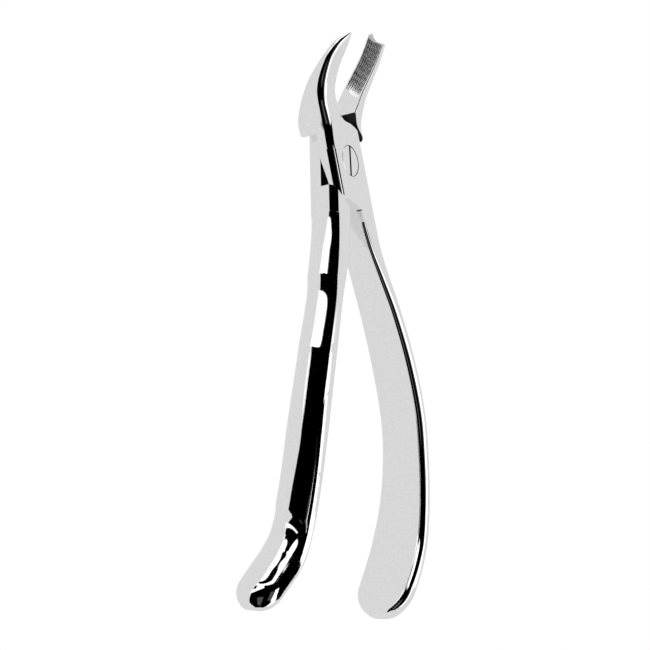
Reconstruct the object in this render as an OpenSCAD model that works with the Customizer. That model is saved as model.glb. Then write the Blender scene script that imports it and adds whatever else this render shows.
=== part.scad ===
// Dental extraction forceps with an anatomical grip: two forged steel halves
// that cross in a lap joint, and the slotted screw that they turn on.
// Frame: Z runs along the tool with the beaks up, Y is the pivot axis with the
// screw head facing -Y, and +X is the side of the palm handle. Millimetres.
// The origin is where the pivot axis meets the flat back face of the joint.

/* [Opening] */
// Angle between the two halves as drawn, in degrees
opening = 19.2; // [0:0.2:30]

/* [Joint] */
// Width of the joint across its two long edges
joint_w = 19; // [18:0.2:20]
// Thickness of the joint, both laps together
joint_t = 9; // [8:0.25:10]
// Gap between the two lap faces
lap_gap = 0.1; // [0.05:0.05:0.2]
// Distance from the pivot to the slanting shoulders below the joint
low_shoulder = 13.3; // [13.2:0.1:14]
// Radius of the rounded upper corner of each lap
lap_r = 11.6; // [11:0.1:11.8]
// Distance from the pivot to the slanting lower end of each lap
lap_low = 12.2; // [12:0.1:12.6]

/* [Joint screw] */
// Diameter of the screw head
head_d = 9; // [8:0.1:10]
// Thickness of the screw head
head_t = 1.6; // [1.2:0.1:2]
// Diameter of the plain shank that the front half turns on
shank_d = 6; // [5:0.1:6.5]
// Diameter of the threaded end, drawn at its outer diameter
thread_d = 5; // [4:0.1:5.4]
// Radial clearance between the shank and the front half
pivot_clear = 0.03; // [0.02:0.01:0.06]
// Width of the driver slot
slot_w = 0.9; // [0.6:0.1:1.2]
// Depth of the driver slot
slot_deep = 0.9; // [0.6:0.1:1.1]
// Turn of the driver slot from the long axis, in degrees
slot_turn = -3; // [-20:1:20]

/* [Finger grooves] */
// Depth of the finger grooves
groove_deep = 1.2; // [0.5:0.1:1.6]
// Height of the lowest finger groove
groove_low = -108; // [-110:1:-104]
// Spacing of the finger grooves
groove_step = 22.5; // [20:0.5:24]
// Length of one finger groove
groove_len = 17; // [12:1:20]

/* [Gouge] */
// Pitch of the gripping grooves inside the gouge
serration_pitch = 0.75; // [0.6:0.05:1]
// Depth of the gripping grooves
serration_deep = 0.25; // [0.1:0.05:0.3]
// Radius of the crescent notch in the end of the gouge
notch_r = 2.5; // [2:0.1:2.8]
// Distance from the middle of the gouge to the middle of the notch
notch_off = 1.1; // [0.5:0.1:1.5]
// How much shorter the front prong is than the back one
short_prong = 1.3; // [0.5:0.1:2]

/* [Hidden] */
half_open = opening / 2;
plate_t = joint_t / 2;
edge_x = joint_w / 2;
// radius along the long edges of the joint
edge_r = 1.6;
// slant of the shoulders below the joint, and of the lap ends that face them
shoulder_slant = 31;
lap_slant = 28;
// inner edges of the handles next to the joint, and of the beaks above it
handle_in = 1;
beak_in = 0.6;
// shoulder above the joint, drawn on the +x side, in x and z
shoulder_top = [[30, -10], [9.5, 8.8], [4, 12.4], [1.8, 15.4], [-30, 17]];
// lowest points of the two handles, drawn closed
palm_end = -131.5;
finger_end = -135;
// end of the gouge: height, lean towards -y and toe-in towards -x, in degrees
gouge_end = 36.8;
gouge_lean = 35;
gouge_toe = -15;
// number and length of the gripping grooves
serrations = 7;
serration_len = 13;
// corner points in a quarter of a section
corner_n = 5;

// Stations along each half, drawn closed: height, centre x, centre y,
// half thickness in x, half width in y, corner radius at -x, corner radius at +x.
palm_stations = [
    [-131.5, -4.6, 12.5, 2.4, 8.4, 1.2, 2.2],
    [-126, -0.4, 11.3, 2.4, 8.8, 1.2, 2.2],
    [-119, 5.2, 9.8, 2.4, 8.8, 1.1, 2.2],
    [-111, 10.3, 8.4, 2.4, 8.4, 1.1, 2.2],
    [-100, 14.3, 6.6, 2.3, 7.7, 1.0, 2.1],
    [-87, 16.7, 4.8, 2.3, 7.2, 1.0, 2.1],
    [-75, 17.1, 3.4, 2.3, 7.0, 1.0, 2.1],
    [-60, 14.7, 2.0, 2.3, 6.7, 1.0, 2.0],
    [-45, 10.8, 0.9, 2.4, 6.1, 1.0, 1.9],
    [-34, 7.3, 0.3, 2.7, 5.4, 1.0, 1.8],
    [-26, 5.3, 0.0, 3.3, 4.8, 0.9, 1.7],
    [-20, 4.9, 0.0, 3.7, 4.5, 0.8, 1.7],
    [-14, 5.2, 0.0, 4.1, 4.4, 0.8, 1.7],
    [-8, 5.0, 0.0, 4.3, 4.4, 0.8, 1.7]
];
finger_stations = [
    [-135, -31.4, 13.3, 4.2, 6.4, 3.5, 3.0],
    [-130, -27.4, 12.2, 4.1, 6.4, 3.5, 2.8],
    [-125, -23.7, 11.1, 4.0, 6.4, 3.6, 2.2],
    [-119, -19.6, 9.8, 3.9, 6.2, 3.6, 1.4],
    [-112, -16.9, 8.6, 3.9, 5.9, 3.6, 1.0],
    [-100, -15.5, 6.6, 4.0, 5.8, 3.7, 1.0],
    [-85, -14.3, 4.6, 4.0, 5.7, 3.7, 1.0],
    [-70, -12.7, 3.0, 4.0, 5.4, 3.7, 1.0],
    [-55, -10.7, 1.7, 4.0, 5.1, 3.7, 1.0],
    [-42, -8.8, 0.8, 4.1, 4.9, 3.6, 1.0],
    [-30, -6.5, 0.2, 4.6, 4.7, 2.9, 0.9],
    [-20, -5.0, 0.0, 4.8, 4.5, 2.0, 0.8],
    [-8, -4.8, 0.0, 4.7, 4.4, 1.6, 0.8]
];
claw_stations = [
    [6, -5.0, 0.0, 4.4, 4.4, 1.8, 0.6],
    [11, -5.9, 0.1, 5.7, 4.5, 2.4, 0.6],
    [14, -6.1, -0.1, 5.4, 4.6, 2.5, 0.6],
    [18, -6.2, -0.8, 4.4, 4.1, 2.2, 0.5],
    [22, -6.1, -2.2, 3.6, 3.3, 1.8, 0.5],
    [26, -5.4, -4.4, 2.8, 2.6, 1.5, 0.4],
    [30, -4.1, -7.1, 2.2, 1.9, 1.2, 0.4],
    [33, -2.7, -9.6, 1.6, 1.4, 0.9, 0.3],
    [36, -0.5, -12.7, 0.3, 0.25, 0.2, 0.1]
];
gouge_stations = [
    [6, 5.2, 0.0, 4.2, 4.4, 0.6, 1.8],
    [10, 4.8, -0.2, 4.1, 4.4, 0.6, 1.8],
    [14, 4.5, -0.9, 3.1, 4.4, 0.5, 1.5],
    [18, 4.3, -2.4, 2.3, 4.0, 0.4, 1.1],
    [22, 4.2, -4.3, 1.9, 3.5, 0.3, 0.9],
    [27, 3.9, -7.4, 1.7, 3.3, 0.3, 0.9],
    [31, 3.1, -10.3, 1.6, 3.2, 0.3, 0.8],
    [35, 1.8, -13.0, 1.4, 3.1, 0.3, 0.7],
    [38, 0.6, -15.0, 1.2, 3.0, 0.3, 0.6]
];

// ---- Smooth values between stations ----
function span(t, z, i = 0) = (i >= len(t) - 2 || z <= t[i + 1][0]) ? i : span(t, z, i + 1);
function tangent(t, i, k) =
    let (a = max(i - 1, 0), b = min(i + 1, len(t) - 1))
    (t[b][k] - t[a][k]) / (t[b][0] - t[a][0]);
function along(t, z, k) =
    let (
        i = span(t, z),
        d = t[i + 1][0] - t[i][0],
        u = (z - t[i][0]) / d
    )
    (2 * pow(u, 3) - 3 * pow(u, 2) + 1) * t[i][k]
    + (pow(u, 3) - 2 * pow(u, 2) + u) * d * tangent(t, i, k)
    + (3 * pow(u, 2) - 2 * pow(u, 3)) * t[i + 1][k]
    + (pow(u, 3) - pow(u, 2)) * d * tangent(t, i + 1, k);
function slope(t, z, k) = (along(t, z + 0.5, k) - along(t, z - 0.5, k));

// ---- Sections ----
// Rounded rectangle of half sizes a and b, with corner radii for its two sides.
function section(a, b, left_r, right_r) = [
    for (q = [0 : 3]) for (j = [0 : corner_n - 1])
        let (
            right = (q == 0 || q == 3),
            r = min(right ? right_r : left_r, a * 0.98, b * 0.98),
            ang = q * 90 + j * 90 / (corner_n - 1)
        )
        [
            (right ? 1 : -1) * (a - r) + r * cos(ang),
            (q < 2 ? 1 : -1) * (b - r) + r * sin(ang)
        ]
];
// Full tilt of the rings away from the joint, none at it.
function tilt_at(z) = min(1, max(0, (abs(z) - 16) / 8));
// Round-off of an end: 0 at the end, 1 from length len_r on.
function cap(s, len_r) = s >= len_r ? 1 : sqrt(max(0, 1 - pow(1 - s / len_r, 2)));
// Depth of the finger grooves at a height.
function groove(z) =
    let (
        n = min(max(round((z - groove_low) / groove_step), 0), 3),
        off = abs(z - groove_low - n * groove_step)
    )
    off < groove_len / 2 ? groove_deep * pow(cos(180 * off / groove_len), 2) : 0;
// One ring of a loft, square to the run of the half away from the joint.
function ring(t, z, end_z, end_x, end_y, grooved) =
    let (
        tilt = tilt_at(z),
        cut = grooved ? groove(z) : 0,
        fx = cap(abs(z - end_z), end_x),
        fy = cap(abs(z - end_z), end_y),
        ax = tilt * atan(slope(t, z, 1)),
        ay = tilt * atan(slope(t, z, 2)),
        a = along(t, z, 3),
        pts = section(a, along(t, z, 4), along(t, z, 5), along(t, z, 6))
    )
    [
        for (p = pts)
            let (x = fx * max(p[0], -a + cut), y = fy * p[1])
            [
                along(t, z, 1) + x * cos(ax),
                along(t, z, 2) + y * cos(ay),
                z - x * sin(ax) - y * sin(ay)
            ]
    ];
module loft(rings) {
    m = len(rings[0]);
    n = len(rings);
    polyhedron(
        points = [for (r = rings) for (p = r) p],
        faces = concat(
            [[for (j = [0 : m - 1]) j]],
            [[for (j = [m - 1 : -1 : 0]) (n - 1) * m + j]],
            [
                for (i = [0 : n - 2]) for (j = [0 : m - 1])
                    [i * m + j, (i + 1) * m + j, (i + 1) * m + (j + 1) % m]
            ],
            [
                for (i = [0 : n - 2]) for (j = [0 : m - 1])
                    [i * m + j, (i + 1) * m + (j + 1) % m, i * m + (j + 1) % m]
            ]
        )
    );
}
// Heights of the rings of a handle and of a beak.
function handle_heights(z0) = concat(
    [for (s = [0.05, 0.3, 0.8, 1.6, 2.8, 4.4, 6.4, 9]) z0 + s],
    [for (z = [z0 + 12 : 3.4 : -24]) z],
    [for (z = [-21 : 3 : -9]) z]
);
function beak_heights(top) = [for (i = [0 : 15]) 6 + i * (top - 6) / 15];

// ---- Joint ----
// Outline of a lap, in x and z: slanting lower end at +x, rounded upper corner at -x.
module lap_outline() {
    low_left = -(lap_low + handle_in * sin(lap_slant)) / cos(lap_slant);
    low_right = -(lap_low - edge_x * sin(lap_slant)) / cos(lap_slant);
    top_a = acos(edge_x / lap_r);
    polygon(concat(
        [[-edge_x, -18], [-handle_in, -18], [-handle_in, low_left], [edge_x, low_right]],
        [[edge_x, 9.5], [8.2, 12], [beak_in, 12]],
        [for (i = [0 : 10]) let (a = 90 + i * (90 - top_a) / 10) [lap_r * cos(a), lap_r * sin(a)]]
    ));
}
// Bar with rounded long edges that the lap outline is cut from.
module rounded_bar() {
    translate([-edge_x + edge_r, -plate_t, -20]) cube([joint_w - 2 * edge_r, joint_t, 40]);
    translate([-edge_x, -plate_t + edge_r, -20]) cube([joint_w, joint_t - 2 * edge_r, 40]);
    for (x = [-1, 1], y = [-1, 1])
        translate([x * (edge_x - edge_r), y * (plate_t - edge_r), -20])
            cylinder(h = 40, r = edge_r, $fn = 32);
}
module joint_block() {
    intersection() {
        rotate([90, 0, 0]) linear_extrude(joint_t + 2, center = true) lap_outline();
        rounded_bar();
    }
}
// Space that the other half sweeps, between the shoulders, on the -Y side.
module lap_space() {
    translate([0, lap_gap / 2, 0])
        rotate([90, 0, 0])
            linear_extrude(20)
                intersection() {
                    rotate(-shoulder_slant) translate([-40, -low_shoulder]) square([80, 60]);
                    polygon(concat(shoulder_top, [[-30, -30], [30, -30]]));
                }
}

// ---- The two halves, drawn closed ----
module palm_body() {
    mirror([1, 0, 0]) joint_block();
    loft([for (z = handle_heights(palm_end)) ring(palm_stations, z, palm_end, 2.4, 9, false)]);
    loft([for (z = beak_heights(36)) ring(claw_stations, z, -200, 1, 1, false)]);
}
module finger_body() {
    joint_block();
    loft([for (z = handle_heights(finger_end)) ring(finger_stations, z, finger_end, 5, 6.5, true)]);
    difference() {
        loft([for (z = beak_heights(gouge_end)) ring(gouge_stations, z, -200, 1, 1, false)]);
        gouge_cuts();
    }
}
// Gripping grooves along the inner face of the gouge, and its crescent end,
// placed in a frame that lies along the end of the gouge.
module gouge_cuts() {
    end_x = along(gouge_stations, gouge_end, 1);
    face_x = -along(gouge_stations, gouge_end, 3);
    translate([end_x, along(gouge_stations, gouge_end, 2), gouge_end])
        rotate([gouge_lean, 0, 0])
            rotate([0, gouge_toe, 0]) {
                translate([0, -notch_off, 0])
                    rotate([0, 90, 0]) cylinder(h = 10, r = notch_r, center = true, $fn = 48);
                translate([-5, -notch_off - 10, -short_prong]) cube([10, 10, 10]);
                for (i = [0 : serrations - 1])
                    translate([face_x, (i - (serrations - 1) / 2) * serration_pitch, -1 - serration_len / 2])
                        rotate([0, 0, 45])
                            cube([serration_deep * 1.4, serration_deep * 1.4, serration_len], center = true);
            }
}

// Turns a half drawn closed about the pivot, and puts the back face at y = 0.
module in_frame(turn) {
    translate([0, -plate_t, 0]) rotate([0, turn, 0]) children();
}

// Front half: lap with the screw head, claw beak and wide palm handle.
module palm_half() {
    color("silver")
        in_frame(-half_open)
            difference() {
                palm_body();
                rotate([0, 0, 180]) lap_space();
                rotate([90, 0, 0]) cylinder(h = 20, d = shank_d + 2 * pivot_clear, center = true, $fn = 64);
                translate([0, head_t - plate_t, 0])
                    rotate([90, 0, 0]) cylinder(h = 20, d = head_d + 0.2, $fn = 64);
            }
}
// Back half: threaded lap, gouge beak and finger handle with four grooves.
module finger_half() {
    color("silver")
        in_frame(half_open)
            difference() {
                finger_body();
                lap_space();
                rotate([90, 0, 0]) cylinder(h = 20, d = thread_d, center = true, $fn = 64);
            }
}
// Slotted screw, flush with the front lap and threaded into the back lap.
module joint_screw() {
    color("gainsboro")
        in_frame(half_open)
            difference() {
                union() {
                    translate([0, head_t - plate_t - 0.05, 0])
                        rotate([90, 0, 0]) cylinder(h = head_t - 0.05, d = head_d, $fn = 64);
                    translate([0, lap_gap / 2, 0])
                        rotate([90, 0, 0]) cylinder(h = plate_t - 0.5, d = shank_d, $fn = 64);
                    translate([0, plate_t, 0])
                        rotate([90, 0, 0]) cylinder(h = plate_t + 0.5, d = thread_d, $fn = 64);
                }
                rotate([0, slot_turn, 0])
                    translate([0, slot_deep - plate_t - 5, 0])
                        cube([slot_w, 10, head_d + 2], center = true);
            }
}

palm_half();
finger_half();
joint_screw();
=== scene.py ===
"""Extraction forceps: two polished steel halves that cross in a lap joint, and the slotted screw in it.

Each half is drawn closed in millimetres, with Z along the tool, Y along the pivot axis and the middle of
the joint at the origin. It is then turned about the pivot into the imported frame.
"""
import math

import bmesh
import bpy
from mathutils import Matrix, Vector


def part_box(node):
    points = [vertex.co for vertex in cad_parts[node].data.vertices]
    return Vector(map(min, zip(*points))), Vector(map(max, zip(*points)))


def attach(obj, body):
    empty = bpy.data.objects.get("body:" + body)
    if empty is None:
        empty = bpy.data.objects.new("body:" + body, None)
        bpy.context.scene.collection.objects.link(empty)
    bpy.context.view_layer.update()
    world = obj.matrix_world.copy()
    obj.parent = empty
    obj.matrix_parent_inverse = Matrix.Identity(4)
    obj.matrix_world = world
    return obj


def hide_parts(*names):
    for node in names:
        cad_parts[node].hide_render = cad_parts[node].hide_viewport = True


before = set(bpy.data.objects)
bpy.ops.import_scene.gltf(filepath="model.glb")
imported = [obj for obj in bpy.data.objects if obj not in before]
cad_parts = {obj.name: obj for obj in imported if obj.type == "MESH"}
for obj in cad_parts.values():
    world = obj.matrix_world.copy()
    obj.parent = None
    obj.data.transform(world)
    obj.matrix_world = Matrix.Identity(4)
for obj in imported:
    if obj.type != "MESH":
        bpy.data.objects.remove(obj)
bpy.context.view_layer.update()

# ---- Driving dimensions, in millimetres and degrees ----
# Metres in a millimetre, and how far each half is turned open
MM = 0.001
HALF_OPEN = 9.6

# Joint: its thickness and half of it; half width, edge radius and reach of the bar that a half's block is
# cut from; and the ends of the block
JOINT_T = (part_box("joint_screw")[1].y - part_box("joint_screw")[0].y) / MM
PLATE_T = JOINT_T / 2
EDGE_X = 9.5
EDGE_R = 2.2
BAR_REACH = 20
BLOCK_LOW = -18
BLOCK_TOP = 5
# Lap: gap between the two laps, radius, and place and slant of its lower edge
LAP_GAP = 0.1
LAP_R = 11.6
LAP_LOW = 12.2
LAP_SLANT = 28
# Inner sides of the handle root and of the beak root
HANDLE_IN = 1.0
BEAK_IN = 1.8
# Fillet between the inner side of a beak and the rounded corner of the lap: start, bend and end
BEAK_FILLET = ((1.4, 15.5), (0.4, 11.9), (-2.4, 11.35))
# Shoulders beside the other half's lap: distance, slant and reach of the lower one, and the line of the
# upper one
LOW_SHOULDER = 13.3
SHOULDER_SLANT = 31
SHOULDER_WIDE = 30
SHOULDER_TOP = [(30, -10), (9.5, 8.8), (4, 12.4), (1.8, 15.4), (-30, 17)]
# How far a cutting shape reaches past what it cuts: just past a face, right through, and over a whole half
OVER = 1
THROUGH = 10
CLEAR = 20

# Screw
HEAD_D = 9.0
HEAD_T = 1.6
SHANK_D = 6.0
THREAD_D = 5.0
SLOT_W = 0.9
SLOT_DEEP = 0.9
SLOT_TURN = -3
# Gaps round the head and round the shank, and how far the head stays below the front face and off its seat
RING_GAP = 0.15
SHANK_GAP = 0.03
HEAD_GAP = 0.05
# Rounding of the head's edge, the place of its middle, the chamfer of the thread's end and the radius of
# the middle face at both ends
HEAD_EDGE = 0.15
HEAD_EDGE_MID = 0.04
THREAD_EDGE = 0.3
FACE_R = 0.3

# Ends of the handles, and the lengths over which they round off in x and in y
PALM_END = -131.5
PALM_CAP = (2.2, 7.5)
FINGER_END = -135.0
FINGER_CAP = (5, 6.5)
HANDLE_TOP = -8
# Distances from the pivot between which the sections turn square to the run of the half
TILT_FROM = 16
TILT_FULL = 24

# Finger grooves: height of the ridge between them at the -Y edge and at the +Y edge, then the depth of the
# groove below it
RIDGES = [
    (-38.3, -37.5, 0.9),
    (-60.5, -58.0, 0.15),
    (-85.3, -83.5, 0.25),
    (-109.5, -104.0, 0.9),
    (-121.0, -117.0, 0.0),
]
# Share of a groove above its deepest place, and the share over which the bottom is rounded
VALLEY_AT = 0.25
VALLEY_ROUND = 0.25
# How far the middle of the finger handle's -x side stands out from its edges, and the distances from the
# pivot between which this sets in
CROWN = 0.3
CROWN_FROM = 16
CROWN_FULL = 26
# Shares of the way from the +x side to the -x side between which the grooves set in
GROOVE_FROM = 0.3
GROOVE_FULL = 0.9

# Beaks: where they start inside the joint block, and where they end
BEAK_LOW = 4
CLAW_END = 36.0
GOUGE_END = 37.6
# Lean of the gouge's end backwards and sideways, radius and place of its crescent notch, and how much its
# front prong is cut back
GOUGE_LEAN = 35
GOUGE_TOE = -15
NOTCH_R = 2.95
NOTCH_OFF = 0.45
NOTCH_UP = 0.2
SHORT_PRONG = 2.5
# Slant of the gouge's -y side, and the heights between which it sets in
GOUGE_SLANT = 0.12
SLANT_FROM = 8
SLANT_FULL = 14
# Gripping face of the gouge: pitch of its grooves, its width, depth of the grooves, its lower end and how
# much that rises across the face, length of the run-out, depth of the hollow, how far above the lower end
# the rougher steel starts, and how near the face a point counts as on it
GRIP_PITCH = 0.68
GRIP_W = 5.44
GRIP_DEEP = 0.25
GRIP_LOW = 21.5
GRIP_RISE = 0.35
GRIP_RUNOUT = 2.5
HOLLOW = 0.5
ROUGH_UP = 1.5
ON_FACE = 0.01

# Mesh density: steps of a corner, of the +y, -x, -y and +x sides of a plain section and of the gouge's, of
# the lap's fillet and arc, of a turned shape and of a rounded end; then the height of a step on the handles
# and the number of steps of the beaks
CORNER_STEPS = 12
SIDE_STEPS = (6, 6, 6, 6)
GRIP_STEPS = (6, 90, 6, 6)
FILLET_STEPS = 8
ARC_STEPS = 40
TURN_STEPS = 96
END_STEPS = 24
PALM_STEP = 0.9
FINGER_STEP = 0.6
CLAW_STEPS = 70
GOUGE_STEPS = 80
# Length of the finer steps at a rounded end, places of the extra rings round a ridge, and the least step
END_ZONE = 9.0
RIDGE_RINGS = (-1.0, -0.6, -0.3, -0.12, 0.12, 0.3, 0.6, 1.0)
LEAST_STEP = 0.1

# Stations along each half, drawn closed: height, centre x, centre y, half thickness in x, half width in y,
# corner radius at -x and corner radius at +x. Some have one more column.
CENTRE_X, CENTRE_Y, HALF_X, HALF_Y, LEFT_R, RIGHT_R, LAST = range(1, 8)
PALM = [
    (-131.5, -4.6, 12.5, 2.4, 8.9, 1.9, 2.2),
    (-126, -0.4, 11.3, 2.4, 9.3, 1.9, 2.2),
    (-119, 5.2, 9.8, 2.4, 9.3, 1.9, 2.2),
    (-111, 10.3, 8.4, 2.4, 8.8, 1.9, 2.2),
    (-100, 14.3, 6.6, 2.3, 7.9, 1.9, 2.1),
    (-87, 16.7, 4.8, 2.3, 7.2, 1.9, 2.1),
    (-75, 17.1, 3.4, 2.3, 7.0, 1.9, 2.1),
    (-60, 14.7, 2.0, 2.3, 6.7, 1.8, 2.0),
    (-45, 10.8, 0.9, 2.4, 6.1, 1.6, 1.9),
    (-34, 7.3, 0.3, 2.7, 5.4, 1.4, 1.8),
    (-26, 5.4, 0.0, 3.4, 4.8, 1.1, 1.8),
    (-20, 5.25, 0.0, 4.15, 4.5, 1.0, 2.0),
    (-14, 5.2, 0.0, 4.25, 4.5, 0.9, 2.2),
    (-4, 5.2, 0.0, 4.3, 4.5, 0.8, 2.2),
]
# The last column is the height in y of the rounding at -x.
FINGER = [
    (-135, -31.4, 13.3, 4.2, 6.4, 4.2, 3.0, 4.2),
    (-130, -27.4, 12.2, 4.1, 6.4, 4.5, 2.8, 4.5),
    (-125, -23.7, 11.1, 4.0, 6.4, 4.7, 2.2, 4.6),
    (-119, -19.6, 9.8, 3.9, 6.2, 4.6, 1.4, 4.8),
    (-112, -16.9, 8.6, 3.9, 5.9, 4.6, 1.0, 5.2),
    (-100, -15.5, 6.6, 4.0, 5.8, 4.7, 1.0, 5.4),
    (-85, -14.3, 4.6, 4.0, 5.7, 4.3, 1.0, 4.7),
    (-70, -12.7, 3.0, 4.0, 5.4, 3.8, 1.0, 4.9),
    (-55, -10.7, 1.7, 4.0, 5.1, 3.8, 1.0, 4.5),
    (-42, -8.8, 0.8, 4.1, 4.9, 3.7, 1.0, 4.3),
    (-30, -6.5, 0.2, 4.6, 4.7, 3.3, 0.9, 3.6),
    (-20, -5.0, 0.0, 4.6, 4.5, 2.5, 0.8, 2.5),
    (-14, -4.9, 0.0, 4.6, 4.5, 2.2, 0.8, 2.2),
    (-4, -4.9, 0.0, 4.6, 4.5, 2.2, 0.8, 2.2),
]
# The last column is how far the edge at -x, -y stands in from the edge at -x, +y.
CLAW = [
    (2, -5.0, 0.0, 4.5, 4.5, 1.9, 0.6, 0.0),
    (5, -5.0, 0.0, 4.5, 4.5, 1.9, 0.6, 0.0),
    (7.0, -5.0, 0.1, 4.5, 4.6, 1.9, 0.6, 0.2),
    (8.2, -5.0, 0.4, 4.5, 4.9, 1.9, 0.6, 0.4),
    (9.8, -4.95, 0.6, 4.55, 5.1, 1.9, 0.6, 0.7),
    (11.5, -4.95, 0.65, 4.65, 5.15, 1.9, 0.6, 0.85),
    (14, -5.3, 0.4, 4.6, 5.0, 1.9, 0.6, 0.75),
    (18, -6.05, -0.7, 4.25, 4.2, 1.9, 0.5, 0.35),
    (22, -6.1, -2.2, 3.6, 3.3, 2.1, 0.5, 0.0),
    (26, -5.4, -4.4, 2.8, 2.6, 2.1, 0.4, -1.25),
    (30, -4.1, -7.1, 2.2, 1.9, 1.8, 0.4, -2.1),
    (33, -2.7, -9.6, 1.6, 1.4, 1.3, 0.3, -1.6),
    (36, -0.5, -12.7, 0.3, 0.25, 0.2, 0.1, 0.0),
]
GOUGE = [
    (2, 5.2, 0.0, 4.3, 4.5, 0.6, 1.9),
    (6, 5.2, 0.0, 4.3, 4.5, 0.6, 1.9),
    (10, 4.8, -0.2, 4.1, 4.4, 0.6, 1.8),
    (14, 4.5, -0.9, 3.1, 4.4, 0.5, 1.5),
    (18, 4.3, -2.4, 2.3, 4.0, 0.4, 1.1),
    (22, 4.2, -4.3, 1.9, 3.5, 0.3, 0.9),
    (27, 3.9, -7.4, 1.7, 3.3, 0.3, 0.9),
    (31, 3.1, -10.3, 1.6, 3.2, 0.3, 0.8),
    (35, 1.8, -13.0, 1.4, 3.1, 0.3, 0.7),
    (38, 0.6, -15.0, 1.2, 3.0, 0.3, 0.6),
]


# ---- Node trees ----
NOISE_DETAIL = 3
HATCH_WAVER = 1.5


class Nodes:
    """Short way to build a node tree: values and sockets go in, an output socket comes back."""

    def __init__(self, tree):
        self.tree = tree

    def put(self, socket, value):
        if isinstance(value, bpy.types.NodeSocket):
            self.tree.links.new(value, socket)
        elif value is not None:
            socket.default_value = value

    def math(self, operation, a, b=None, c=None, clamp=False):
        node = self.tree.nodes.new("ShaderNodeMath")
        node.operation = operation
        node.use_clamp = clamp
        for socket, value in zip(node.inputs, (a, b, c)):
            self.put(socket, value)
        return node.outputs[0]

    def step(self, x, low, high):
        """0 below low and 1 above high."""
        node = self.tree.nodes.new("ShaderNodeMapRange")
        node.interpolation_type = "SMOOTHSTEP"
        self.put(node.inputs[0], x)
        self.put(node.inputs[1], low)
        self.put(node.inputs[2], high)
        return node.outputs[0]

    def edge(self, x, place, soft):
        """0 before a soft edge and 1 after it."""
        return self.step(x, place - soft / 2, place + soft / 2)

    def noise(self, coord, scale, stretch):
        """Fine noise, stretched where a part of stretch is under 1."""
        mapping = self.tree.nodes.new("ShaderNodeMapping")
        mapping.inputs["Scale"].default_value = stretch
        self.tree.links.new(coord, mapping.inputs[0])
        node = self.tree.nodes.new("ShaderNodeTexNoise")
        node.inputs["Scale"].default_value = scale
        node.inputs["Detail"].default_value = NOISE_DETAIL
        self.tree.links.new(mapping.outputs[0], node.inputs["Vector"])
        return node.outputs["Fac"]

    def wave(self, coord, scale, turn):
        """Slightly wavering lines, turned about the x axis by a number of degrees."""
        mapping = self.tree.nodes.new("ShaderNodeMapping")
        mapping.inputs["Rotation"].default_value = (math.radians(turn), 0, 0)
        self.tree.links.new(coord, mapping.inputs[0])
        node = self.tree.nodes.new("ShaderNodeTexWave")
        node.bands_direction = "Y"
        node.inputs["Scale"].default_value = scale
        node.inputs["Distortion"].default_value = HATCH_WAVER
        self.tree.links.new(mapping.outputs[0], node.inputs["Vector"])
        return node.outputs["Fac"]

    def grey(self, value):
        node = self.tree.nodes.new("ShaderNodeCombineColor")
        for socket in node.inputs[:3]:
            self.put(socket, value)
        return node.outputs[0]

    def mix(self, share, a, b):
        node = self.tree.nodes.new("ShaderNodeMix")
        self.put(node.inputs[0], share)
        self.put(node.inputs[2], a)
        self.put(node.inputs[3], b)
        return node.outputs[0]


# ---- Steel ----
# Scales per metre of the grain, of the haze, of the polishing lines and of the hatch
GRAIN_SCALE = 1800
HAZE_SCALE = 120
LINE_SCALE = 5200
HATCH_SCALE = 900
# Polishing lines are drawn out along z by this share, and the hatch is turned both ways by these degrees
LINE_STRETCH = 0.04
HATCH_TURNS = (45, -45)
# Level of the noise above which there is haze, and the depth of the bumps in metres
HAZE_FROM = 0.4
BUMP_DEPTH = 0.0001


def steel(name, base, rough, grain=0.2, haze=0.02, lines=0.02, hatch=0.0):
    """Worked steel: fine grain in the colour, a faint haze of handling, polishing lines along the tool and,
    where hatch says so, the crossed marks of a grinding wheel."""
    mat = bpy.data.materials.new(name)
    mat.use_nodes = True
    tree = mat.node_tree
    n = Nodes(tree)
    shader = tree.nodes["Principled BSDF"]
    shader.inputs["Metallic"].default_value = 1.0
    coord = tree.nodes.new("ShaderNodeTexCoord").outputs["Object"]
    fine = n.math("SUBTRACT", n.noise(coord, GRAIN_SCALE, (1, 1, 1)), 0.5)
    cloud = n.math("SUBTRACT", n.noise(coord, HAZE_SCALE, (1, 1, 1)), HAZE_FROM, clamp=True)
    streak = n.noise(coord, LINE_SCALE, (1, 1, LINE_STRETCH))
    shade = n.math("MULTIPLY_ADD", fine, grain, base)
    tree.links.new(n.grey(shade), shader.inputs["Base Color"])
    spread = n.math("MULTIPLY_ADD", cloud, haze, rough)
    spread = n.math("MULTIPLY_ADD", fine, haze, spread)
    tree.links.new(spread, shader.inputs["Roughness"])
    height = n.math("MULTIPLY", streak, lines)
    if hatch:
        for turn in HATCH_TURNS:
            height = n.math("MULTIPLY_ADD", n.wave(coord, HATCH_SCALE, turn), hatch, height)
    bump = tree.nodes.new("ShaderNodeBump")
    bump.inputs["Distance"].default_value = BUMP_DEPTH
    tree.links.new(height, bump.inputs["Height"])
    tree.links.new(bump.outputs[0], shader.inputs["Normal"])
    return mat


def matt(name, level, rough, shine):
    """One even grey, for what stands round the object."""
    mat = bpy.data.materials.new(name)
    mat.use_nodes = True
    shader = mat.node_tree.nodes["Principled BSDF"]
    shader.inputs["Base Color"].default_value = (level, level, level, 1)
    shader.inputs["Roughness"].default_value = rough
    shader.inputs["Specular IOR Level"].default_value = shine
    return mat


POLISHED = steel("polished_steel", 0.87, 0.045)
# Near-black steel for the walls of the bores, the screw's slot and the back half's lap recess: painted
# shade that makes these hollows look dark
RECESS_SHADE = steel("joint_recess_painted_shade", 0.03, 0.4, grain=0.02, haze=0.1, lines=0.3)
GRIP = steel("serrated_steel", 0.6, 0.2, grain=0.2, haze=0.1, lines=0.3, hatch=0.5)


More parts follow.
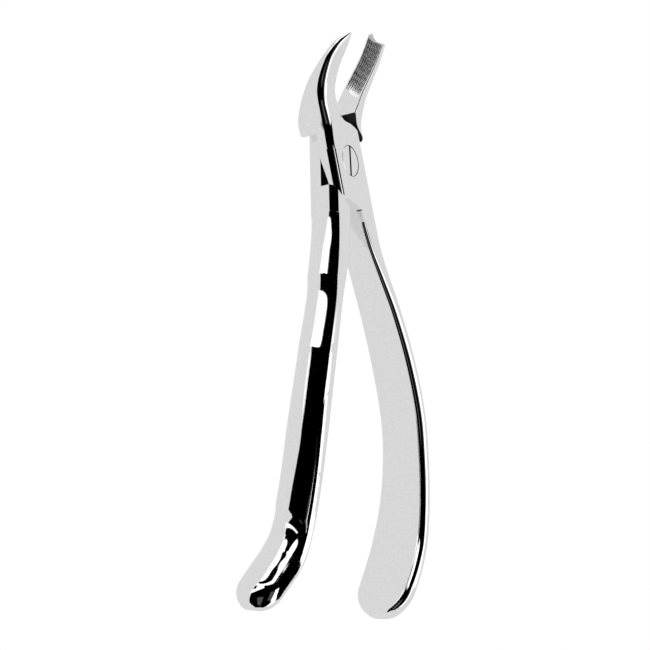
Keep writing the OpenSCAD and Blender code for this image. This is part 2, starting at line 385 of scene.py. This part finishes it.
# ---- Smooth values between stations ----
def tangent(table, i, k):
    """Slope of column k at station i, from the stations on both sides of it."""
    a = max(i - 1, 0)
    b = min(i + 1, len(table) - 1)
    return (table[b][k] - table[a][k]) / (table[b][0] - table[a][0])


def along(table, z, k):
    """Value of column k at a height, on a smooth curve through the stations."""
    i = 0
    while i < len(table) - 2 and z > table[i + 1][0]:
        i += 1
    d = table[i + 1][0] - table[i][0]
    u = (z - table[i][0]) / d
    start = (2 * u**3 - 3 * u**2 + 1) * table[i][k] + (u**3 - 2 * u**2 + u) * d * tangent(table, i, k)
    end = (3 * u**2 - 2 * u**3) * table[i + 1][k] + (u**3 - u**2) * d * tangent(table, i + 1, k)
    return start + end


def slope(table, z, k):
    """Change of column k over one millimetre of height."""
    return along(table, z + 0.5, k) - along(table, z - 0.5, k)


def centre(table, z):
    """Middle of the section at a height."""
    return Vector((along(table, z, CENTRE_X), along(table, z, CENTRE_Y), z))


def smooth(x, low, high):
    """0 below low and 1 above high."""
    t = min(1.0, max(0.0, (x - low) / (high - low)))
    return t * t * (3 - 2 * t)


# ---- Sections and lofts ----
# Most that the -x corners take of a section's thickness, and most that corners take of the room they have
LEFT_MOST = 0.6
MOST = 0.98


def section(half_x, half_y, left_r, right_r, steps=SIDE_STEPS, left_tall=None):
    """Rounded rectangle with corner radii for its -x and +x sides, counterclockwise from the +x side. steps
    says how many steps the +y, -x, -y and +x sides are drawn in; left_tall is the radius of the -x corners
    in y. Radii that don't fit are made smaller."""
    left_r = min(left_r, 2 * half_x * LEFT_MOST, half_y * MOST)
    right_r = min(right_r, 2 * half_x * MOST - left_r, half_y * MOST)
    left_tall = min(left_tall or left_r, half_y * MOST)
    corners = [(half_x, half_y, right_r, right_r), (-half_x, half_y, left_r, left_tall)]
    corners += [(-half_x, -half_y, left_r, left_tall), (half_x, -half_y, right_r, right_r)]
    points = []
    for i, (x, y, rx, ry) in enumerate(corners):
        sx = math.copysign(1, x)
        sy = math.copysign(1, y)
        arc = []
        for j in range(CORNER_STEPS + 1):
            turn = 90 * j / CORNER_STEPS
            a = math.radians(turn if i % 2 == 0 else 90 - turn)
            arc.append((x - sx * rx * (1 - math.cos(a)), y - sy * ry * (1 - math.sin(a))))
        if points:
            points += between(points[-1], arc[0], steps[i - 1])
        points += arc
    return points + between(points[-1], points[0], steps[3])


def between(p, q, n):
    """Points that split the line from p to q into n steps, without p and q."""
    return [(p[0] + (q[0] - p[0]) * i / n, p[1] + (q[1] - p[1]) * i / n) for i in range(1, n)]


def cap(s, length):
    """Round-off of an end: 0 at the end, 1 from that length on."""
    return 1.0 if s >= length else math.sqrt(max(0.0, 1 - (1 - s / length) ** 2))


def section_at(table, z, steps=SIDE_STEPS, tall=None):
    """Section at a height; tall is the column with the radius of the -x corners in y, if there is one."""
    half_x, half_y, left_r, right_r = (along(table, z, k) for k in (HALF_X, HALF_Y, LEFT_R, RIGHT_R))
    left_tall = along(table, z, tall) if tall else None
    return section(half_x, half_y, left_r, right_r, steps, left_tall)


def ring(table, z, end=None, caps=(), shape=None, twist=0.0, steps=SIDE_STEPS, tall=None):
    """Points of the section at one height, square to the run of the half away from the joint. caps are the
    lengths in x and y over which the section shrinks to a point at the end. shape moves a point, given its
    place, its height and the half sizes of the section. A twist of 1 keeps the wide sides of a handle that
    runs sideways and backwards facing straight to -x and +x."""
    tilt = min(1.0, max(0.0, (abs(z) - TILT_FROM) / (TILT_FULL - TILT_FROM)))
    run_x = tilt * slope(table, z, CENTRE_X)
    run_y = tilt * slope(table, z, CENTRE_Y)
    x_way = Vector((1, 0, -run_x)).normalized()
    y_way = Vector((-run_x * run_y * twist, 1 + run_x * run_x * twist, -run_y)).normalized()
    middle = centre(table, z)
    size_x, size_y = (cap(abs(z - end), length) for length in caps) if caps else (1.0, 1.0)
    half_x = along(table, z, HALF_X)
    half_y = along(table, z, HALF_Y)
    points = []
    for x, y in section_at(table, z, steps, tall):
        if shape:
            x, y = shape(x, y, z, half_x, half_y)
        points.append(middle + x_way * x * size_x + y_way * y * size_y)
    return points


def loft(rings, tip=None, second=None):
    """Closed mesh through the rings, with the first one drawn in to the tip if there is one. second says
    for each ring and each of its points whether the face there has the second material."""
    bm = bmesh.new()
    rows = [[bm.verts.new(p) for p in r] for r in rings]
    m = len(rows[0])
    for i, (low, high) in enumerate(zip(rows, rows[1:])):
        for j in range(m):
            face = bm.faces.new((low[j], low[(j + 1) % m], high[(j + 1) % m], high[j]))
            if second and second[i][j]:
                face.material_index = 1
    for row, point in ((rows[0], tip), (rows[-1], None)):
        if point is None:
            bm.faces.new(row)
            continue
        middle = bm.verts.new(point)
        for j in range(m):
            bm.faces.new((row[(j + 1) % m], row[j], middle))
    bmesh.ops.recalc_face_normals(bm, faces=bm.faces)
    return mesh_object(bm)


def mesh_object(bm, name="work"):
    """Object in the scene with the mesh that was built."""
    mesh = bpy.data.meshes.new(name)
    bm.to_mesh(mesh)
    bm.free()
    obj = bpy.data.objects.new(name, mesh)
    bpy.context.scene.collection.objects.link(obj)
    return obj


def prism(outline, y0, y1):
    """Solid between two heights in y of an outline given in x and z."""
    bm = bmesh.new()
    low = [bm.verts.new((x, y0, z)) for x, z in outline]
    high = [bm.verts.new((x, y1, z)) for x, z in outline]
    bm.faces.new(low)
    bm.faces.new(high)
    n = len(outline)
    for j in range(n):
        bm.faces.new((low[j], low[(j + 1) % n], high[(j + 1) % n], high[j]))
    bmesh.ops.recalc_face_normals(bm, faces=bm.faces)
    return mesh_object(bm)


def turned(profile):
    """Solid turned about the Y axis from a profile of (radius, y) points."""
    bm = bmesh.new()
    n = TURN_STEPS
    rows = []
    for r, y in profile:
        row = []
        for j in range(n):
            a = 2 * math.pi * j / n
            row.append(bm.verts.new((r * math.cos(a), y, r * math.sin(a))))
        rows.append(row)
    for low, high in zip(rows, rows[1:]):
        for j in range(n):
            bm.faces.new((low[j], low[(j + 1) % n], high[(j + 1) % n], high[j]))
    bm.faces.new(rows[0])
    bm.faces.new(rows[-1])
    bmesh.ops.recalc_face_normals(bm, faces=bm.faces)
    return mesh_object(bm)


def combine(target, tool, operation, material=POLISHED):
    """Boolean of two closed meshes; the tool is used up. The faces that it leaves have the given material,
    unless the tool has its own."""
    for obj, steel_of in ((target, POLISHED), (tool, material)):
        if not obj.data.materials:
            obj.data.materials.append(steel_of)
    mod = target.modifiers.new("combine", "BOOLEAN")
    mod.operation = operation
    mod.solver = "MANIFOLD"
    mod.material_mode = "TRANSFER"
    mod.object = tool
    depsgraph = bpy.context.evaluated_depsgraph_get()
    mesh = bpy.data.meshes.new_from_object(target.evaluated_get(depsgraph))
    target.modifiers.clear()
    target.data = mesh
    bpy.data.objects.remove(tool)
    return target


# ---- Joint ----
def lap_outline():
    """Outline in x and z of the joint block of a half with its handle at -x and its beak at +x."""
    slant = math.radians(LAP_SLANT)
    outline = [(-EDGE_X, BLOCK_LOW), (-HANDLE_IN, BLOCK_LOW)]
    for x in (-HANDLE_IN, EDGE_X):
        outline.append((x, -(LAP_LOW - x * math.sin(slant)) / math.cos(slant)))
    outline += [(EDGE_X, BLOCK_TOP), (BEAK_IN, BLOCK_TOP)]
    start, bend, end = BEAK_FILLET
    for i in range(FILLET_STEPS + 1):
        t = i / FILLET_STEPS
        x, z = ((1 - t) ** 2 * p + 2 * t * (1 - t) * q + t * t * r for p, q, r in zip(start, bend, end))
        outline.append((x, z))
    first = 90 + math.degrees(math.asin(-end[0] / LAP_R))
    last = 180 - math.degrees(math.acos(EDGE_X / LAP_R))
    for i in range(1, ARC_STEPS + 1):
        a = math.radians(first + (last - first) * i / ARC_STEPS)
        outline.append((LAP_R * math.cos(a), LAP_R * math.sin(a)))
    return outline


def joint_block(side):
    """Bar with rounded long edges, cut to the outline of a lap; side is the x side of the half's handle."""
    outline = [(-side * x, z) for x, z in lap_outline()]
    bar = section(EDGE_X, PLATE_T, EDGE_R, EDGE_R)
    block = loft([[Vector((x, y, z)) for x, y in bar] for z in (-BAR_REACH, BAR_REACH)])
    return combine(block, prism(outline, -PLATE_T - OVER, PLATE_T + OVER), "INTERSECT")


def lap_space(side):
    """Space that the other half sweeps, cut from the half with its handle at that x side."""
    slant = math.radians(SHOULDER_SLANT)
    low = []
    for x in (-SHOULDER_WIDE, SHOULDER_WIDE):
        low.append((x, -LOW_SHOULDER / math.cos(slant) - x * math.tan(slant)))
    outline = [(-side * x, z) for x, z in low + SHOULDER_TOP]
    if side < 0:
        return prism(outline, -CLEAR, LAP_GAP / 2)
    return prism(outline, -LAP_GAP / 2, CLEAR)


def bore(radius, y0, y1):
    """Cylinder about the Y axis."""
    return turned([(radius, y0), (radius, y1)])


def in_frame(obj, turn, name, body, node):
    """Turns a piece about the pivot, puts the back face at y = 0 and hands the piece to its body."""
    place = Matrix.Scale(MM, 4) @ Matrix.Translation((0, -PLATE_T, 0))
    obj.data.transform(place @ Matrix.Rotation(math.radians(turn), 4, "Y"))
    obj.name = name
    obj.data.name = name
    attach(obj, body)
    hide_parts(node)
    return obj


def heights(end, step, extra):
    """Ring heights of a handle, closer together at the rounded end and at the extra places."""
    length = HANDLE_TOP - end - END_ZONE
    values = []
    for i in range(1, END_STEPS):
        values.append(end + END_ZONE * (1 - math.cos(math.radians(90 * i / END_STEPS))))
    n = round(length / step)
    values += [end + END_ZONE + length * i / n for i in range(n + 1)]
    for z in extra:
        values += [z + d for d in RIDGE_RINGS]
    values.sort()
    kept = values[:1]
    for z in values[1:]:
        if z - kept[-1] > LEAST_STEP:
            kept.append(z)
    return kept


def handle(table, end, step, caps, extra=(), **how):
    """Handle from its rounded end up into the joint block."""
    rows = [ring(table, z, end, caps, **how) for z in heights(end, step, extra)]
    return loft(rows, centre(table, end))


def beak_levels(end, n):
    """Ring heights of a beak."""
    return [BEAK_LOW + (end - BEAK_LOW) * i / n for i in range(n + 1)]


# ---- Palm half ----
def claw_side(x, y, z, half_x, half_y):
    """Slants the claw's -x side so that it faces straight to -x."""
    return x + along(CLAW, z, LAST) * (half_x - x) / (2 * half_x) * (half_y - y) / (2 * half_y), y


def palm_half():
    """Claw beak, front lap and wide handle in one forging."""
    body = joint_block(1)
    combine(body, handle(PALM, PALM_END, PALM_STEP, PALM_CAP, twist=1.0), "UNION")
    claw = [ring(CLAW, z, shape=claw_side) for z in beak_levels(CLAW_END, CLAW_STEPS)]
    combine(body, loft(claw), "UNION")
    combine(body, lap_space(1), "DIFFERENCE")
    # The bore walls take the near-black steel: painted shade in the holes
    combine(body, bore(SHANK_D / 2 + SHANK_GAP, -THROUGH, THROUGH), "DIFFERENCE", RECESS_SHADE)
    combine(body, bore(HEAD_D / 2 + RING_GAP, -THROUGH, HEAD_T - PLATE_T), "DIFFERENCE", RECESS_SHADE)
    return in_frame(body, -HALF_OPEN, "palm_half_forging", "front_half", "palm_half")


# ---- Finger half ----
def groove(z, v):
    """Depth of the finger grooves at a height and at -1 to 1 across the handle: each falls away quickly
    below its ridge and then rises slowly to the next one."""
    t = (v + 1) / 2
    lines = [front + (back - front) * t for front, back, _ in RIDGES]
    for i in range(len(lines) - 1):
        if lines[i + 1] <= z <= lines[i]:
            u = (lines[i] - z) / (lines[i] - lines[i + 1])
            if u < VALLEY_AT:
                share = 1 - (1 - u / VALLEY_AT) ** 2
            else:
                w = (u - VALLEY_AT) / (1 - VALLEY_AT)
                share = 1 - w * w * (1 + VALLEY_ROUND) / (w + VALLEY_ROUND)
            return RIDGES[i][2] * share
    return 0.0


def grooved(x, y, z, half_x, half_y):
    """Moves the -x side of the finger handle in by the depth of the grooves, and crowns it."""
    share = smooth((half_x - x) / (2 * half_x), GROOVE_FROM, GROOVE_FULL)
    crown = CROWN * (y / half_y) ** 2 * smooth(-z, CROWN_FROM, CROWN_FULL)
    return x + (groove(z, y / half_y) + crown) * share, y


def grip_start(y):
    """Height at which the gripping face starts."""
    return GRIP_LOW + GRIP_RISE * y


def gripped(x, y, z, half_x):
    """Says whether a point of the gouge's section lies on the gripping face."""
    return x < -half_x + ON_FACE and abs(y) < GRIP_W / 2 and z > grip_start(y)


def gouge_face(x, y, z, half_x, half_y):
    """Hollows the gripping face and cuts its grooves, and slants the gouge's -y side."""
    if not gripped(x, y, z, half_x):
        slant = GOUGE_SLANT * smooth(z, SLANT_FROM, SLANT_FULL)
        return x, y + slant * (x + half_x) * (half_y - y) / (2 * half_y)
    low = grip_start(y)
    fade = smooth(z, low, low + GRIP_RUNOUT)
    hollow = HOLLOW * (1 - (2 * y / GRIP_W) ** 2)
    wave = GRIP_DEEP * (0.5 - 0.5 * math.cos(2 * math.pi * (y / GRIP_PITCH)))
    return x + fade * (hollow + wave), y


def gouge_end_cuts(gouge):
    """Crescent notch in the end of the gouge, and the shorter prong in front of it."""
    place = Matrix.Translation(centre(GOUGE, GOUGE_END))
    place @= Matrix.Rotation(math.radians(GOUGE_LEAN), 4, "X")
    place @= Matrix.Rotation(math.radians(GOUGE_TOE), 4, "Y")
    # Half width and height of the cutting shapes, which clear the gouge
    wide = 5
    tall = 9
    notch = bore(NOTCH_R, -wide, wide)
    across = Matrix.Translation((0, NOTCH_OFF, NOTCH_UP)) @ Matrix.Rotation(math.pi / 2, 4, "Z")
    notch.data.transform(place @ across)
    combine(gouge, notch, "DIFFERENCE", GRIP)
    outline = [(-wide, -SHORT_PRONG), (wide, -SHORT_PRONG), (wide, tall), (-wide, tall)]
    corner = prism(outline, -THROUGH, 0)
    corner.data.transform(place)
    combine(gouge, corner, "DIFFERENCE", GRIP)


def gouge_beak():
    """Grooved beak, with rougher steel on its gripping face."""
    levels = beak_levels(GOUGE_END, GOUGE_STEPS)
    rows = [ring(GOUGE, z, shape=gouge_face, steps=GRIP_STEPS) for z in levels]
    rough = []
    for z in levels:
        half_x = along(GOUGE, z, HALF_X)
        rough.append([gripped(x, y, z - ROUGH_UP, half_x) for x, y in section_at(GOUGE, z, GRIP_STEPS)])
    gouge = loft(rows, second=rough)
    for material in (POLISHED, GRIP):
        gouge.data.materials.append(material)
    gouge_end_cuts(gouge)
    return gouge


def finger_half():
    """Gouge beak, back lap and handle with finger grooves in one forging."""
    body = joint_block(-1)
    ridges = [front + (back - front) / 2 for front, back, _ in RIDGES]
    lever = handle(FINGER, FINGER_END, FINGER_STEP, FINGER_CAP, ridges, shape=grooved, tall=LAST)
    combine(body, lever, "UNION")
    combine(body, gouge_beak(), "UNION")
    # The lap recess and the thread bore take the near-black steel: painted shade on their walls
    combine(body, lap_space(-1), "DIFFERENCE", RECESS_SHADE)
    combine(body, bore(THREAD_D / 2, -THROUGH, THROUGH), "DIFFERENCE", RECESS_SHADE)
    return in_frame(body, HALF_OPEN, "finger_half_forging", "back_half", "finger_half")


# ---- Screw ----
def joint_screw():
    """Flush slotted head, plain shank down to the back lap, and thread."""
    top = -PLATE_T + HEAD_GAP
    head_low = top + HEAD_T - 2 * HEAD_GAP
    head_r = HEAD_D / 2
    thread_r = THREAD_D / 2
    profile = [
        (FACE_R, top),
        (head_r - HEAD_EDGE, top),
        (head_r - HEAD_EDGE_MID, top + HEAD_EDGE_MID),
        (head_r, top + HEAD_EDGE),
        (head_r, head_low),
        (SHANK_D / 2, head_low),
        (SHANK_D / 2, LAP_GAP / 2),
        (thread_r, LAP_GAP / 2),
        (thread_r, PLATE_T - THREAD_EDGE),
        (thread_r - THREAD_EDGE, PLATE_T),
        (FACE_R, PLATE_T),
    ]
    screw = turned(profile)
    wide = SLOT_W / 2
    long = head_r + OVER
    slot = prism([(-wide, -long), (wide, -long), (wide, long), (-wide, long)], top - OVER, top + SLOT_DEEP)
    slot.data.transform(Matrix.Rotation(math.radians(SLOT_TURN), 4, "Y"))
    # The slot's walls take the near-black steel: painted shade in the slot
    combine(screw, slot, "DIFFERENCE", RECESS_SHADE)
    return in_frame(screw, HALF_OPEN, "slotted_joint_screw", "back_half", "joint_screw")


# ---- Shading of the meshes ----
# Points closer than this and edges shorter than this, in metres, are joined, and facets that meet at less
# than this many degrees are merged
SAME_POINT = 2e-7
NO_EDGE = 1e-7
FLAT = 0.05


def finish_mesh(obj, crease):
    """Joins doubled points, merges flat facets and shades smooth across edges of up to crease degrees."""
    bm = bmesh.new()
    bm.from_mesh(obj.data)
    bmesh.ops.remove_doubles(bm, verts=bm.verts, dist=SAME_POINT)
    bmesh.ops.dissolve_degenerate(bm, edges=bm.edges, dist=NO_EDGE)
    bmesh.ops.dissolve_limit(bm, angle_limit=math.radians(FLAT), verts=bm.verts, edges=bm.edges)
    bm.to_mesh(obj.data)
    bm.free()
    obj.data.shade_smooth()
    obj.data.set_sharp_from_angle(angle=math.radians(crease))


# ---- Room ----
# Floor in metres, the grey of the room, and the light on rough surfaces and behind the object
FLOOR = -0.26
FLOOR_HALF = 3
ROOM_GREY = 0.78
SOFT_LIGHT = 1.05
WHITE = 1.0
# Panels round the object, in the order they are laid over each other: compass direction from +x towards +y,
# from and to, in degrees; height above the horizon, from and to; brightness; softness of the left and right
# edges and of the low and high edges; and how much the high edge falls for each degree of compass
PANELS = [
    (154, 242, 36, 53, 1.5, (10, 4), (3, 3), 0),
    (158, 312, 53, 100, 1.5, (6, 8), (3, 3), 0),
    (238, 312, 28, 56, 1.5, (3, 8), (3, 3), 0),
    (160.5, 163.5, 36, 100, 0.2, (1.5, 1.5), (3, 3), 0),
    (163, 192, 51, 66, 0.0, (3, 3), (4, 4), 0),
    (163, 280, -75, 36, 0.0, (3, 1.5), (3, 2), 0),
    (213, 237, -62, -8, 0.09, (8, 8), (16, 8), 0),
    (263, 276, -34, 5, 0.09, (8, 2), (8, 6), 0),
    (240, 322, 7, 48, 0.0, (3, 3), (2, 3), 0.42),
    (280, 300, -60, 7, 1.5, (1.5, 3), (6, 2), 0),
    (298, 325, -5, 7, 1.5, (3, 3), (4, 2), 0),
]
# Dark cards beside the finger handle, in millimetres: middle in x and y, radius, compass directions from
# and to, and heights from and to
CARD_STEPS = 12
CARDS = [
    (-30, -10, 40, 156, 240, -72, -20),
    (-20, 5, 60, 268, 304, -165, -66),
]


def dark_cards():
    """Curved black cards that only the steel reflects."""
    bm = bmesh.new()
    for x, y, reach, a0, a1, low, high in CARDS:
        rows = []
        for i in range(CARD_STEPS + 1):
            a = math.radians(a0 + (a1 - a0) * i / CARD_STEPS)
            foot = (x + reach * math.cos(a), y + reach * math.sin(a))
            rows.append([bm.verts.new((*foot, z)) for z in (low, high)])
        for (p, q), (r, t) in zip(rows, rows[1:]):
            bm.faces.new((p, r, t, q))
    cards = mesh_object(bm, "dark_cards")
    cards.data.transform(Matrix.Scale(MM, 4))
    cards.data.materials.append(matt("dark_card", 0.0, 1.0, 0.0))
    cards.visible_camera = False
    cards.visible_diffuse = False
    cards.visible_shadow = False


def floor():
    """Pale floor under the object, out of the camera's view."""
    bm = bmesh.new()
    half = FLOOR_HALF
    corners = [(-half, -half), (half, -half), (half, half), (-half, half)]
    bm.faces.new([bm.verts.new((x, y, FLOOR)) for x, y in corners])
    plane = mesh_object(bm, "floor")
    plane.data.materials.append(matt("pale_floor", 0.9, 0.9, 0.5))
    plane.visible_glossy = False


def room():
    """Grey studio with dark and light panels that only the steel reflects, and white behind the object."""
    world = bpy.data.worlds.new("studio")
    bpy.context.scene.world = world
    world.use_nodes = True
    world.cycles.sampling_method = "NONE"
    tree = world.node_tree
    tree.nodes.clear()
    n = Nodes(tree)
    coord = tree.nodes.new("ShaderNodeTexCoord")
    parts = tree.nodes.new("ShaderNodeSeparateXYZ")
    tree.links.new(coord.outputs["Generated"], parts.inputs[0])
    turn = n.math("ARCTAN2", parts.outputs[1], parts.outputs[0])
    compass = n.math("MODULO", n.math("ADD", n.math("DEGREES", turn), 360), 360)
    height = n.math("DEGREES", n.math("ARCSINE", parts.outputs[2]))
    light = ROOM_GREY
    for a0, a1, e0, e1, value, soft_a, soft_e, fall in PANELS:
        level = n.math("MULTIPLY_ADD", n.math("SUBTRACT", compass, a0), fall, height)
        left = n.edge(compass, a0, soft_a[0])
        right = n.edge(compass, a1, soft_a[1])
        low = n.edge(height, e0, soft_e[0])
        high = n.edge(level, e1, soft_e[1])
        across = n.math("SUBTRACT", left, right)
        upright = n.math("SUBTRACT", low, high, clamp=True)
        light = n.mix(n.math("MULTIPLY", across, upright), light, value)
    path = tree.nodes.new("ShaderNodeLightPath")
    light = n.mix(path.outputs["Is Diffuse Ray"], light, SOFT_LIGHT)
    light = n.mix(path.outputs["Is Camera Ray"], light, WHITE)
    ground = tree.nodes.new("ShaderNodeBackground")
    tree.links.new(light, ground.inputs["Color"])
    out = tree.nodes.new("ShaderNodeOutputWorld")
    tree.links.new(ground.outputs[0], out.inputs[0])


# ---- Camera ----
# Direction from the object to the camera, and the camera's roll, in degrees; its distance from the pivot
# and its shifts to the left and down, in millimetres; and the width of its sensor and its lens
VIEW_TURN = -60.7
VIEW_RISE = -9.5
VIEW_ROLL = -6.2
VIEW_FAR = 900
VIEW_LEFT = 3.54
VIEW_DOWN = 46.7
SENSOR = 36
LENS = 171.97


def camera():
    """Long lens from the front left and a little below, as the object is seen in a catalogue picture."""
    a, e, roll = (math.radians(v) for v in (VIEW_TURN, VIEW_RISE, VIEW_ROLL))
    back = Vector((math.sin(a) * math.cos(e), -math.cos(a) * math.cos(e), math.sin(e)))
    right = Vector((math.cos(a), math.sin(a), 0))
    up = back.cross(right)
    side = math.cos(roll) * right + math.sin(roll) * up
    top = -math.sin(roll) * right + math.cos(roll) * up
    place = VIEW_FAR * back - VIEW_LEFT * side - VIEW_DOWN * top + Vector((0, -PLATE_T, 0))
    data = bpy.data.cameras.new("camera")
    data.sensor_width = SENSOR
    data.lens = LENS
    data.clip_start = 0.01
    data.clip_end = 100
    cam = bpy.data.objects.new("camera", data)
    bpy.context.scene.collection.objects.link(cam)
    axes = Matrix((side, top, back)).transposed().to_4x4()
    cam.matrix_world = Matrix.Translation(place * MM) @ axes
    bpy.context.scene.camera = cam


# ---- Object ----
# Each piece, its material slot and the angle in degrees above which an edge of it is sharp
PIECES = [
    (palm_half, "palm_steel", 30),
    (finger_half, "finger_steel", 30),
    (joint_screw, "screw_steel", 12),
]

camera()
room()
floor()
dark_cards()
for build, slot, crease in PIECES:
    piece = build()
    finish_mesh(piece, crease)
bpy.context.scene.view_settings.view_transform = "Standard"
